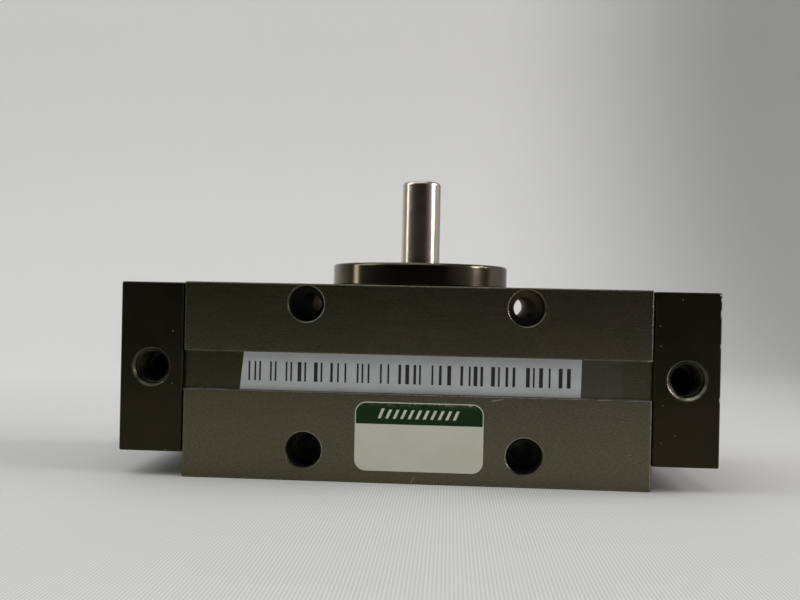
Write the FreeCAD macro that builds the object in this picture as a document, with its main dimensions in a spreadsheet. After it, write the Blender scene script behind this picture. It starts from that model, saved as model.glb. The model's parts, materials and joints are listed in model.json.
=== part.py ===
import FreeCAD, Part
import math
import os
import re
import Sketcher
from FreeCAD import Placement, Rotation, Vector

# Double-acting rotary actuator. One rack, with a piston at each end, turns a vertical pinion shaft.
# Millimetres. The origin is at the bottom centre of the housing, on the shaft axis.
# +X runs along the bore to the right end cover, +Y to the back, and +Z up along the shaft.
# The rest pose is mid stroke.

DIMENSIONS = {
    # Housing block
    "body_length": 141.4,
    "body_width": 60.0,
    "body_height": 59.6,
    "body_edge": 0.3,
    "body_end_edge": 0.6,
    "groove_low": 26.85,
    "groove_high": 38.6,
    "groove_depth": 2.0,
    # Mounting holes, front to back
    "mount_spacing_long": 66.3,
    "mount_spacing_high": 44.2,
    "mount_low": 9.3,
    "mount_hole_radius": 3.3,
    "counterbore_radius": 5.45,
    "counterbore_depth": 9.0,
    "counterbore_edge": 0.2,
    # Piston bore and shaft chamber
    "bore_radius": 12.5,
    "bore_offset": 12.5,
    "bore_height": 33.2,
    "chamber_radius": 14.01,
    "chamber_floor": 5.0,
    "relief_radius": 11.0,
    "relief_floor": 3.4,
    # End covers
    "cover_width": 19.4,
    "cover_low": 7.5,
    "cover_high": 59.2,
    "cover_edge": 0.6,
    "spigot_length": 4.0,
    "spigot_gap": 0.1,
    "port_offset": 9.8,
    "port_radius": 5.1,
    "port_depth": 10.0,
    "port_edge": 0.8,
    "port_drill_radius": 3.2,
    "passage_radius": 2.5,
    "ring_groove_start": 1.5,
    "ring_groove_width": 2.0,
    "ring_groove_radius": 10.7,
    "ring_wire_radius": 0.87,
    # Cover screws
    "cover_screw_side": 22.5,
    "cover_screw_rise": 18.5,
    "cover_hole_radius": 2.75,
    "cover_seat_radius": 4.75,
    "cover_seat_depth": 5.6,
    "tapped_radius": 2.5,
    "tapped_depth": 13.0,
    "screw_shank_radius": 2.45,
    "screw_head_radius": 4.25,
    "screw_head_height": 5.0,
    "screw_socket_radius": 2.3,
    "screw_socket_depth": 2.6,
    "cover_screw_length": 24.0,
    "piston_screw_length": 18.0,
    # End-of-stroke bumpers
    "bumper_inner": 6.0,
    "bumper_outer": 10.0,
    "bumper_sunk": 1.2,
    "bumper_proud": 0.8,
    "bumper_gap": 0.05,
    # Rack and pinion
    "gear_module": 1.0,
    "pinion_teeth": 20,
    "pressure_angle": 20.0,
    "gear_backlash": 0.1,
    "tooth_depth": 1.25,
    "pinion_low": 26.2,
    "pinion_high": 40.2,
    "rack_length": 76.0,
    "rack_width": 12.0,
    "rack_back": 19.5,
    "rack_gaps": 15,
    "rack_edge": 0.6,
    # Pistons
    "piston_length": 12.0,
    "piston_radius": 12.2,
    "piston_edge": 0.5,
    "wear_groove_start": 1.5,
    "wear_groove_width": 4.0,
    "wear_groove_radius": 10.7,
    "seal_groove_start": 7.5,
    "seal_groove_width": 3.0,
    "seal_groove_radius": 9.0,
    "sliding_gap": 0.05,
    "wear_ring_split": 1.2,
    "seal_notch_depth": 1.6,
    "seal_lip": 0.9,
    # Bearings, 15 x 28 x 7
    "bearing_width": 7.0,
    "race_bore_radius": 7.5,
    "inner_race_radius": 9.5,
    "outer_race_inner": 12.0,
    "outer_race_radius": 14.0,
    "race_edge": 0.4,
    "ball_radius": 1.75,
    "ball_circle_radius": 10.75,
    "ball_groove_radius": 1.8,
    "ball_count": 10,
    "cage_inner": 10.05,
    "cage_outer": 11.45,
    "cage_half_height": 2.3,
    "cage_pocket_radius": 1.82,
    "washer_thickness": 0.5,
    # Output shaft
    "shaft_radius": 6.35,
    "journal_radius": 7.49,
    "shoulder_radius": 8.6,
    "shaft_bottom": 4.2,
    "shaft_top": 94.43,
    "shaft_edge": 1.2,
    "shaft_end_edge": 0.3,
    # Bearing flange and seal
    "flange_radius": 28.85,
    "flange_height": 7.0,
    "flange_top_edge": 1.0,
    "flange_low_edge": 0.4,
    "pilot_depth": 1.2,
    "pilot_radius": 13.95,
    "pilot_inner": 12.3,
    "flange_hole_radius": 7.9,
    "seal_recess_radius": 11.0,
    "seal_recess_depth": 4.6,
    "seal_height": 4.0,
    "seal_shaft_radius": 7.55,
    "flange_screw_circle": 21.5,
    "flange_screw_radius": 2.2,
    "flange_sink_radius": 4.2,
    "flat_head_radius": 3.85,
    "flat_head_height": 1.9,
    "flat_head_sunk": 0.3,
    "flat_shank_radius": 1.95,
    "flat_screw_length": 12.0,
    "flat_socket_radius": 1.45,
    "flat_socket_depth": 1.6,
    "flange_tap_radius": 2.0,
    "flange_tap_depth": 9.5,
    # Labels
    "strip_left_high": -52.3,
    "strip_left_low": -53.4,
    "strip_right_high": 49.9,
    "strip_right_low": 49.7,
    "strip_margin": 0.08,
    "strip_thickness": 0.15,
    "sticker_left": -17.6,
    "sticker_right": 21.0,
    "sticker_low": 3.75,
    "sticker_high": 24.45,
    "sticker_corner": 3.4,
    "sticker_thickness": 0.12,
}

# Formulas built from the sheet's names, used in more than one place
HALF_LENGTH = "body_length / 2"
FRONT = "body_width / 2"
PITCH_RADIUS = "gear_module * pinion_teeth / 2"
LOWER_BEARING = "chamber_floor"
LOWER_SHOULDER = "chamber_floor + bearing_width"
UPPER_BEARING = "body_height - pilot_depth - washer_thickness - bearing_width"
FLANGE_TOP = "body_height + flange_height"
COVER_MIDDLE = "(cover_low + cover_high) / 2"
CIRCULAR_PITCH = "gear_module * pi"
SIDES = {"left": -1, "right": 1}

doc = FreeCAD.newDocument("rotary_actuator")
sheet = doc.addObject("Spreadsheet::Sheet", "dims")
for row, (alias, number) in enumerate(DIMENSIONS.items(), start=1):
    sheet.set(f"A{row}", alias)
    sheet.set(f"B{row}", str(number))
    sheet.setAlias(f"B{row}", alias)
doc.recompute()

subparts = []


# ---------------------------------------------------------------- helpers

def bound(formula):
    """Point the sheet's names in a formula at the sheet, so that any object can follow it."""
    return re.sub(r"[a-z_]+", lambda name: "dims." + name.group() if name.group() in DIMENSIONS else name.group(),
                  str(formula))


def number(formula):
    """What a formula comes to now."""
    return float(sheet.evalExpression(str(formula)))


def new_body(label, keep=True):
    body = doc.addObject("PartDesign::Body", label)
    body.Label = label
    if keep:
        subparts.append(body)
    return body


def origin_feature(body, role):
    return next(item for item in body.Origin.OriginFeatures if item.Role == role)


def new_sketch(body, plane, name, offset="0"):
    sketch = body.newObject("Sketcher::SketchObject", name)
    sketch.AttachmentSupport = [(origin_feature(body, plane), "")]
    sketch.MapMode = "FlatFace"
    sketch.setExpression("AttachmentOffset.Base.z", bound(offset))
    return sketch


def drive(sketch, constraint, name, formula):
    """Add a constraint and bind it to a formula."""
    index = sketch.addConstraint(constraint)
    sketch.renameConstraint(index, name)
    sketch.setExpression("Constraints." + name, bound(formula))


def polygon(sketch, corners):
    """A closed outline whose corners are pairs of formulas."""
    start = sketch.GeometryCount
    spots = [Vector(number(across), number(along), 0) for across, along in corners]
    count = len(spots)
    for index in range(count):
        sketch.addGeometry(Part.LineSegment(spots[index], spots[(index + 1) % count]))
    for index in range(count):
        line = start + index
        sketch.addConstraint(Sketcher.Constraint("Coincident", line, 2, start + (index + 1) % count, 1))
        across, along = corners[index]
        spot = spots[index]
        drive(sketch, Sketcher.Constraint("DistanceX", -1, 1, line, 1, spot.x), f"across_{line}", across)
        drive(sketch, Sketcher.Constraint("DistanceY", -1, 1, line, 1, spot.y), f"along_{line}", along)


def circle(sketch, across, along, radius):
    """A circle whose centre and radius are formulas."""
    centre = Vector(number(across), number(along), 0)
    index = sketch.addGeometry(Part.Circle(centre, Vector(0, 0, 1), number(radius)))
    drive(sketch, Sketcher.Constraint("Radius", index, number(radius)), f"radius_{index}", radius)
    drive(sketch, Sketcher.Constraint("DistanceX", -1, 1, index, 3, centre.x), f"across_{index}", across)
    drive(sketch, Sketcher.Constraint("DistanceY", -1, 1, index, 3, centre.y), f"along_{index}", along)


def rectangle(sketch, low, high):
    """A rectangle between two corners given as pairs of formulas."""
    polygon(sketch, [low, (high[0], low[1]), high, (low[0], high[1])])


def pad(body, sketch, length, reverse=False):
    """Grow along the sketch's normal, or away from it when reversed."""
    feature = body.newObject("PartDesign::Pad", sketch.Name + "_pad")
    feature.Profile = sketch
    feature.Reversed = reverse
    feature.setExpression("Length", bound(length))
    doc.recompute()
    return feature


def pocket(body, sketch, length, reverse=False):
    """Cut away from the sketch's normal, or along it when reversed, and make sure that it cut."""
    before = body.Shape.Volume
    feature = body.newObject("PartDesign::Pocket", sketch.Name + "_pocket")
    feature.Profile = sketch
    feature.Reversed = reverse
    feature.setExpression("Length", bound(length))
    doc.recompute()
    check_cut(body, feature, before)
    return feature


def check_cut(body, feature, before):
    if not body.Shape.Volume < before:
        raise RuntimeError(feature.Name + " cuts nothing")


def revolve(body, sketch, axis="V_Axis", cut=False):
    """Turn a profile about the sketch's own axis."""
    before = body.Shape.Volume if cut else 0
    kind = "Groove" if cut else "Revolution"
    feature = body.newObject("PartDesign::" + kind, sketch.Name + "_turn")
    feature.Profile = sketch
    feature.ReferenceAxis = (sketch, [axis])
    feature.Angle = 360
    doc.recompute()
    if cut:
        check_cut(body, feature, before)
    return feature


def break_edges(body, feature, kind, size, test):
    """Chamfer or fillet the edges of a feature that pass a test."""
    names = [f"Edge{index}" for index, edge in enumerate(feature.Shape.Edges, start=1) if test(edge)]
    edging = body.newObject("PartDesign::" + kind, feature.Name + "_edges")
    edging.Base = (feature, names)
    edging.setExpression("Size" if kind == "Chamfer" else "Radius", bound(size))
    doc.recompute()
    return edging


def chamfer(body, feature, size, test):
    return break_edges(body, feature, "Chamfer", size, test)


def fillet(body, feature, size, test):
    return break_edges(body, feature, "Fillet", size, test)


def polar_copies(body, feature, count):
    """Repeat a feature round the body's own Z axis."""
    pattern = body.newObject("PartDesign::PolarPattern", feature.Name + "_ring")
    pattern.Originals = [feature]
    pattern.Axis = (origin_feature(body, "Z_Axis"), [""])
    pattern.Angle = 360
    pattern.setExpression("Occurrences", bound(count))
    body.Tip = pattern
    doc.recompute()
    return pattern


def is_circle(edge, radius, tolerance=0.01):
    if edge.Length < tolerance:
        return False
    return isinstance(edge.Curve, Part.Circle) and abs(edge.Curve.Radius - radius) < tolerance


def hexagon(sketch, radius):
    polygon(sketch, [(f"{radius} * cos({60 * step} deg)", f"{radius} * sin({60 * step} deg)") for step in range(6)])


def lay_on_bore(body, side, position):
    """Turn a piece made along its own X axis to face one end, and set it on the bore's axis."""
    body.Placement = Placement(Vector(), Rotation(Vector(0, 0, 1), 0 if side > 0 else 180))
    body.setExpression("Placement.Base.x", bound(f"{side} * ({position})"))
    body.setExpression("Placement.Base.y", bound("-bore_offset"))
    body.setExpression("Placement.Base.z", bound("bore_height"))
    doc.recompute()


def copies(label, piece, rotation, spots):
    """Identical pieces as one sub-part: a linked copy at each place."""
    links = []
    for index, spot in enumerate(spots):
        link = doc.addObject("App::Link", f"{label}_{index}")
        link.LinkedObject = piece
        link.LinkPlacement = Placement(Vector(), rotation)
        for axis, formula in zip("xyz", spot):
            link.setExpression("LinkPlacement.Base." + axis, bound(formula))
        links.append(link)
    group = doc.addObject("Part::Compound", label)
    group.Label = label
    group.Links = links
    subparts.append(group)
    doc.recompute()


# ---------------------------------------------------------------- housing

def make_housing():
    """The block: groove, mounting holes, piston bore, shaft chamber and tapped holes."""
    body = new_body("housing")
    outline = new_sketch(body, "XZ_Plane", "block_outline", f"-{FRONT}")
    rectangle(outline, (f"-{HALF_LENGTH}", "0"), (HALF_LENGTH, "body_height"))
    block = pad(body, outline, "body_width")
    half_length = number(HALF_LENGTH)
    ends = chamfer(body, block, "body_end_edge", lambda edge: abs(abs(edge.CenterOfMass.x) - half_length) < 0.01)
    chamfer(body, ends, "body_edge", lambda edge: edge.Length > number("body_length") - 2)

    groove = new_sketch(body, "XZ_Plane", "front_groove", FRONT)
    rectangle(groove, (f"-{HALF_LENGTH} - 1", "groove_low"), (f"{HALF_LENGTH} + 1", "groove_high"))
    pocket(body, groove, "groove_depth")

    centres = [(f"{across} * mount_spacing_long / 2", f"mount_low + {up} * mount_spacing_high")
               for across in (-1, 1) for up in (0, 1)]
    seats = new_sketch(body, "XZ_Plane", "counterbores", FRONT)
    holes = new_sketch(body, "XZ_Plane", "mounting_holes", FRONT)
    for across, up in centres:
        circle(seats, across, up, "counterbore_radius")
        circle(holes, across, up, "mount_hole_radius")
    seat_cut = pocket(body, seats, "counterbore_depth")
    front = -number(FRONT)
    chamfer(body, seat_cut, "counterbore_edge",
            lambda edge: is_circle(edge, number("counterbore_radius")) and abs(edge.Curve.Center.y - front) < 0.01)
    pocket(body, holes, "body_width")

    bore = new_sketch(body, "YZ_Plane", "piston_bore", f"-{HALF_LENGTH}")
    circle(bore, "-bore_offset", "bore_height", "bore_radius")
    pocket(body, bore, "body_length", reverse=True)

    chamber = new_sketch(body, "XY_Plane", "shaft_chamber", "body_height")
    circle(chamber, "0", "0", "chamber_radius")
    pocket(body, chamber, "body_height - chamber_floor")
    relief = new_sketch(body, "XY_Plane", "shaft_relief", "chamber_floor")
    circle(relief, "0", "0", "relief_radius")
    pocket(body, relief, "chamber_floor - relief_floor")

    flange_taps = new_sketch(body, "XY_Plane", "flange_taps", "body_height")
    for across, along in flange_screw_places():
        circle(flange_taps, across, along, "flange_tap_radius")
    pocket(body, flange_taps, "flange_tap_depth")

    for name, side in SIDES.items():
        taps = new_sketch(body, "YZ_Plane", name + "_cover_taps", f"{side} * {HALF_LENGTH}")
        for across, up in cover_screw_places():
            circle(taps, across, up, "tapped_radius")
        pocket(body, taps, "tapped_depth", reverse=side < 0)


def cover_screw_places():
    return [(f"{across} * cover_screw_side", f"{COVER_MIDDLE} + {up} * cover_screw_rise")
            for across in (-1, 1) for up in (-1, 1)]


def flange_screw_places():
    return [(f"flange_screw_circle * cos({angle} deg)", f"flange_screw_circle * sin({angle} deg)")
            for angle in (45, 135, 225, 315)]


# ---------------------------------------------------------------- end covers

def make_end_cover(name, side):
    """A cover with a spigot in the bore, a side port, and the passage between them."""
    body = new_body(name + "_end_cover")
    inner_face = f"{side} * {HALF_LENGTH}"
    outer_face = f"{side} * ({HALF_LENGTH} + cover_width)"
    outline = new_sketch(body, "XZ_Plane", name + "_cover_outline", f"-{FRONT}")
    low, high = sorted((inner_face, outer_face), key=number)
    rectangle(outline, (low, "cover_low"), (high, "cover_high"))
    block = pad(body, outline, "body_width")
    fillet(body, block, "cover_edge", lambda edge: True)

    spigot = new_sketch(body, "YZ_Plane", name + "_spigot", inner_face)
    circle(spigot, "-bore_offset", "bore_height", "bore_radius - spigot_gap")
    pad(body, spigot, "spigot_length", reverse=side > 0)

    spigot_face = f"{side} * ({HALF_LENGTH} - spigot_length)"
    ring_start = f"{side} * ({HALF_LENGTH} - spigot_length + ring_groove_start)"
    ring_groove = new_sketch(body, "YZ_Plane", name + "_ring_groove", ring_start)
    circle(ring_groove, "-bore_offset", "bore_height", "bore_radius")
    circle(ring_groove, "-bore_offset", "bore_height", "ring_groove_radius")
    pocket(body, ring_groove, "ring_groove_width", reverse=side > 0)

    bumper_seat = new_sketch(body, "YZ_Plane", name + "_bumper_seat", spigot_face)
    circle(bumper_seat, "-bore_offset", "bore_height", "bumper_outer + bumper_gap")
    circle(bumper_seat, "-bore_offset", "bore_height", "bumper_inner - bumper_gap")
    pocket(body, bumper_seat, "bumper_sunk", reverse=side > 0)

    port_across = f"{side} * ({HALF_LENGTH} + port_offset)"
    port = new_sketch(body, "XZ_Plane", name + "_port", FRONT)
    circle(port, port_across, "bore_height", "port_radius")
    port_cut = pocket(body, port, "port_depth")
    front = -number(FRONT)
    chamfer(body, port_cut, "port_edge",
            lambda edge: is_circle(edge, number("port_radius")) and abs(edge.Curve.Center.y - front) < 0.01)
    drill = new_sketch(body, "XZ_Plane", name + "_port_drill", FRONT)
    circle(drill, port_across, "bore_height", "port_drill_radius")
    pocket(body, drill, f"{FRONT} - bore_offset + port_drill_radius + 1")
    passage = new_sketch(body, "YZ_Plane", name + "_passage", spigot_face)
    circle(passage, "-bore_offset", "bore_height", "passage_radius")
    pocket(body, passage, "spigot_length + port_offset", reverse=side > 0)

    holes = new_sketch(body, "YZ_Plane", name + "_cover_holes", outer_face)
    seats = new_sketch(body, "YZ_Plane", name + "_cover_seats", outer_face)
    for across, up in cover_screw_places():
        circle(holes, across, up, "cover_hole_radius")
        circle(seats, across, up, "cover_seat_radius")
    pocket(body, seats, "cover_seat_depth", reverse=side < 0)
    pocket(body, holes, "cover_width", reverse=side < 0)


def make_cover_ring(name, side):
    """The O-ring round the cover's spigot."""
    body = new_body(name + "_cover_o_ring")
    section = new_sketch(body, "XZ_Plane", name + "_ring_section")
    circle(section, "0", "(bore_radius + ring_groove_radius) / 2", "ring_wire_radius")
    revolve(body, section, "H_Axis")
    lay_on_bore(body, side, f"{HALF_LENGTH} - spigot_length + ring_groove_start + ring_groove_width / 2")


def make_bumper(name, side):
    """The elastic ring that the piston meets at the end of its stroke."""
    body = new_body(name + "_bumper")
    section = new_sketch(body, "XZ_Plane", name + "_bumper_section")
    rectangle(section, ("-bumper_proud", "bumper_inner"), ("bumper_sunk", "bumper_outer"))
    revolve(body, section, "H_Axis")
    lay_on_bore(body, side, f"{HALF_LENGTH} - spigot_length")


# ---------------------------------------------------------------- rack and pistons

def make_rack():
    """The bar between the pistons, toothed on the side that faces the pinion."""
    body = new_body("rack")
    tip = f"{PITCH_RADIUS} - gear_module"
    section = new_sketch(body, "YZ_Plane", "rack_section", "-rack_length / 2")
    rectangle(section, ("-rack_back", "bore_height - rack_width / 2"), (f"-({tip})", "bore_height + rack_width / 2"))
    bar = pad(body, section, "rack_length")
    back = -number("rack_back")
    chamfer(body, bar, "rack_edge",
            lambda edge: abs(edge.CenterOfMass.y - back) < 0.01 and edge.Length > number("rack_width") + 1)

    root = f"{PITCH_RADIUS} + tooth_depth * gear_module"
    slope = "tan(pressure_angle * 1 deg)"
    half_gap = f"({CIRCULAR_PITCH} / 4 + gear_backlash / 4)"
    centre = f"-(rack_gaps - 1) / 2 * {CIRCULAR_PITCH}"
    proud = "0.2"
    mouth = f"({half_gap} + (gear_module + {proud}) * {slope})"
    floor = f"({half_gap} - tooth_depth * gear_module * {slope})"
    space = new_sketch(body, "XY_Plane", "rack_gap", "bore_height + rack_width / 2")
    polygon(space, [
        (f"{centre} - {mouth}", f"-({tip}) + {proud}"),
        (f"{centre} - {floor}", f"-({root})"),
        (f"{centre} + {floor}", f"-({root})"),
        (f"{centre} + {mouth}", f"-({tip}) + {proud}"),
    ])
    first_gap = pocket(body, space, "rack_width")
    row = body.newObject("PartDesign::LinearPattern", "rack_gap_row")
    row.Originals = [first_gap]
    row.Direction = (origin_feature(body, "X_Axis"), [""])
    row.setExpression("Length", bound(f"(rack_gaps - 1) * {CIRCULAR_PITCH}"))
    row.setExpression("Occurrences", bound("rack_gaps"))
    body.Tip = row
    doc.recompute()

    for name, side in SIDES.items():
        end = new_sketch(body, "YZ_Plane", name + "_rack_tap", f"{side} * rack_length / 2")
        circle(end, "-bore_offset", "bore_height", "tapped_radius")
        pocket(body, end, "tapped_depth", reverse=side < 0)


def make_piston(name, side):
    """A piston with a groove for its wear ring, one for its seal, and a seat for its screw."""
    body = new_body(name + "_piston")
    section = new_sketch(body, "XZ_Plane", name + "_piston_section")
    polygon(section, [
        ("0", "cover_hole_radius"),
        ("piston_length - cover_seat_depth", "cover_hole_radius"),
        ("piston_length - cover_seat_depth", "cover_seat_radius"),
        ("piston_length", "cover_seat_radius"),
        ("piston_length", "piston_radius - piston_edge"),
        ("piston_length - piston_edge", "piston_radius"),
        ("seal_groove_start + seal_groove_width", "piston_radius"),
        ("seal_groove_start + seal_groove_width", "seal_groove_radius"),
        ("seal_groove_start", "seal_groove_radius"),
        ("seal_groove_start", "piston_radius"),
        ("wear_groove_start + wear_groove_width", "piston_radius"),
        ("wear_groove_start + wear_groove_width", "wear_groove_radius"),
        ("wear_groove_start", "wear_groove_radius"),
        ("wear_groove_start", "piston_radius"),
        ("piston_edge", "piston_radius"),
        ("0", "piston_radius - piston_edge"),
    ])
    revolve(body, section, "H_Axis")
    lay_on_bore(body, side, "rack_length / 2")


def make_piston_seal(name, side):
    """The cup seal: a ring with a notch that opens towards the pressure."""
    body = new_body(name + "_piston_seal")
    section = new_sketch(body, "XZ_Plane", name + "_seal_section")
    inner = "seal_groove_radius + sliding_gap"
    outer = "bore_radius - sliding_gap"
    start = "seal_groove_start + sliding_gap"
    end = "seal_groove_start + seal_groove_width - sliding_gap"
    polygon(section, [
        (start, inner),
        (end, inner),
        (end, f"{inner} + seal_lip"),
        (f"{end} - seal_notch_depth", f"({inner} + {outer}) / 2"),
        (end, f"{outer} - seal_lip"),
        (end, outer),
        (start, outer),
    ])
    revolve(body, section, "H_Axis")
    lay_on_bore(body, side, "rack_length / 2")


def make_wear_ring(name, side):
    """The split ring that carries the piston in its bore."""
    body = new_body(name + "_piston_wear_ring")
    section = new_sketch(body, "XZ_Plane", name + "_wear_section")
    rectangle(section, ("wear_groove_start + sliding_gap", "wear_groove_radius + sliding_gap"),
              ("wear_groove_start + wear_groove_width - sliding_gap", "bore_radius - sliding_gap"))
    revolve(body, section, "H_Axis")
    split = new_sketch(body, "XY_Plane", name + "_wear_split", "bore_radius")
    rectangle(split, ("0", "-wear_ring_split / 2"), ("wear_groove_start + wear_groove_width", "wear_ring_split / 2"))
    pocket(body, split, "bore_radius")
    lay_on_bore(body, side, "rack_length / 2")


def make_cap_screw(label, length):
    """A socket head cap screw with its head's underside at its own origin and its head towards +Z."""
    body = new_body(label, keep=False)
    head = new_sketch(body, "XY_Plane", label + "_head")
    circle(head, "0", "0", "screw_head_radius")
    pad(body, head, "screw_head_height")
    shank = new_sketch(body, "XY_Plane", label + "_shank")
    circle(shank, "0", "0", "screw_shank_radius")
    pad(body, shank, length, reverse=True)
    socket = new_sketch(body, "XY_Plane", label + "_socket", "screw_head_height")
    hexagon(socket, "screw_socket_radius")
    pocket(body, socket, "screw_socket_depth")
    return body


def make_cap_screws():
    cover_screw = make_cap_screw("cover_screw", "cover_screw_length")
    piston_screw = make_cap_screw("piston_screw", "piston_screw_length")
    for name, side in SIDES.items():
        outwards = Rotation(Vector(0, 0, 1), Vector(side, 0, 0))
        seat = f"{side} * ({HALF_LENGTH} + cover_width - cover_seat_depth)"
        copies(name + "_cover_screws", cover_screw, outwards,
               [(seat, across, up) for across, up in cover_screw_places()])
        piston_seat = f"{side} * (rack_length / 2 + piston_length - cover_seat_depth)"
        copies(name + "_piston_screw", piston_screw, outwards, [(piston_seat, "-bore_offset", "bore_height")])


# ---------------------------------------------------------------- output shaft

def involute_point(base_radius, radius, edge_angle):
    """A point at a radius on the flank that springs from the base circle at an angle, mirrored by the caller."""
    pressure = math.acos(min(1.0, base_radius / radius))
    turn = edge_angle + math.tan(pressure) - pressure
    return Vector(radius * math.cos(turn), radius * math.sin(turn), 0)


def make_output_shaft():
    """The shaft and its pinion, in one piece."""
    body = new_body("output_shaft")
    tip = f"{PITCH_RADIUS} + gear_module"
    section = new_sketch(body, "XZ_Plane", "shaft_section")
    polygon(section, [
        ("0", "shaft_bottom"),
        ("journal_radius - shaft_end_edge", "shaft_bottom"),
        ("journal_radius", "shaft_bottom + shaft_end_edge"),
        ("journal_radius", LOWER_SHOULDER),
        ("shoulder_radius", LOWER_SHOULDER),
        ("shoulder_radius", "pinion_low"),
        (tip, "pinion_low"),
        (tip, "pinion_high"),
        ("shoulder_radius", "pinion_high"),
        ("shoulder_radius", UPPER_BEARING),
        ("journal_radius", UPPER_BEARING),
        ("journal_radius", FLANGE_TOP),
        ("shaft_radius", FLANGE_TOP),
        ("shaft_radius", "shaft_top"),
        ("0", "shaft_top"),
    ])
    blank = revolve(body, section)
    top = number("shaft_top")
    fillet(body, blank, "shaft_edge",
           lambda edge: is_circle(edge, number("shaft_radius")) and abs(edge.Curve.Center.z - top) < 0.01)

    # One tooth space: two involute flanks, straight and radial below the base circle.
    pitch_radius = number(PITCH_RADIUS)
    outer_radius = number(tip) + 0.5
    root_radius = pitch_radius - number("tooth_depth * gear_module")
    pressure_angle = math.radians(number("pressure_angle"))
    base_radius = pitch_radius * math.cos(pressure_angle)
    half_space = (number(CIRCULAR_PITCH) / 4 + number("gear_backlash") / 4) / pitch_radius
    flank_start = half_space - (math.tan(pressure_angle) - pressure_angle)
    upper = [Vector(root_radius * math.cos(flank_start), root_radius * math.sin(flank_start), 0)]
    for radius in (base_radius, (base_radius + outer_radius) / 2, outer_radius):
        upper.append(involute_point(base_radius, radius, flank_start))
    lower = [Vector(spot.x, -spot.y, 0) for spot in upper]
    space = new_sketch(body, "XY_Plane", "tooth_space", "pinion_high")
    space.addGeometry([
        Part.LineSegment(lower[0], upper[0]),
        Part.LineSegment(upper[0], upper[1]),
        Part.Arc(upper[1], upper[2], upper[3]),
        Part.LineSegment(upper[3], lower[3]),
        Part.Arc(lower[1], lower[2], lower[3]),
        Part.LineSegment(lower[1], lower[0]),
    ])
    # The first space is half a tooth round from the tooth that meets the rack.
    space.setExpression("AttachmentOffset.Rotation.Angle", bound("180 / pinion_teeth * 1 deg"))
    first_space = pocket(body, space, "pinion_high - pinion_low")
    polar_copies(body, first_space, "pinion_teeth")


# ---------------------------------------------------------------- bearings

def make_race(label, inner, outer, base):
    """One bearing ring, turned and then grooved for the balls."""
    body = new_body(label)
    section = new_sketch(body, "XZ_Plane", label + "_section")
    rectangle(section, (inner, "0"), (outer, "bearing_width"))
    ring = revolve(body, section)
    outline = number(outer)
    bore = number(inner)
    chamfer(body, ring, "race_edge",
            lambda edge: is_circle(edge, outline if outline > number("ball_circle_radius") else bore))
    track = new_sketch(body, "XZ_Plane", label + "_track")
    circle(track, "ball_circle_radius", "bearing_width / 2", "ball_groove_radius")
    revolve(body, track, cut=True)
    body.setExpression("Placement.Base.z", bound(base))
    doc.recompute()


def make_cage(label, base):
    """The ring that spaces the balls."""
    body = new_body(label)
    section = new_sketch(body, "XZ_Plane", label + "_section")
    rectangle(section, ("cage_inner", "-cage_half_height"), ("cage_outer", "cage_half_height"))
    revolve(body, section)
    before = body.Shape.Volume
    hole = body.newObject("PartDesign::SubtractiveSphere", label + "_hole")
    hole.AttachmentSupport = [(origin_feature(body, "XY_Plane"), "")]
    hole.MapMode = "FlatFace"
    hole.AttachmentOffset = Placement(Vector(), Rotation(Vector(0, 1, 0), 90))
    hole.setExpression("AttachmentOffset.Base.x", bound("ball_circle_radius"))
    hole.setExpression("Radius", bound("cage_pocket_radius"))
    doc.recompute()
    check_cut(body, hole, before)
    polar_copies(body, hole, "ball_count")
    body.setExpression("Placement.Base.z", bound(f"{base} + bearing_width / 2"))
    doc.recompute()


def make_ball():
    body = new_body("bearing_ball", keep=False)
    sphere = body.newObject("PartDesign::AdditiveSphere", "ball_sphere")
    sphere.setExpression("Radius", bound("ball_radius"))
    doc.recompute()
    return body


def make_bearings():
    ball = make_ball()
    for name, base in (("lower", LOWER_BEARING), ("upper", UPPER_BEARING)):
        make_race(name + "_bearing_inner_race", "race_bore_radius", "inner_race_radius", base)
        make_race(name + "_bearing_outer_race", "outer_race_inner", "outer_race_radius", base)
        make_cage(name + "_bearing_cage", base)
        middle = f"{base} + bearing_width / 2"
        angles = [360 / int(number("ball_count")) * step for step in range(int(number("ball_count")))]
        copies(name + "_bearing_balls", ball, Rotation(),
               [(f"ball_circle_radius * cos({angle} deg)", f"ball_circle_radius * sin({angle} deg)", middle)
                for angle in angles])


def make_preload_washer():
    """The spring washer between the upper bearing and the flange."""
    body = new_body("preload_washer")
    section = new_sketch(body, "XZ_Plane", "washer_section")
    top = "body_height - pilot_depth"
    rectangle(section, ("pilot_inner", f"{top} - washer_thickness"), ("pilot_radius", top))
    revolve(body, section)


# ---------------------------------------------------------------- flange and seal

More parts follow.
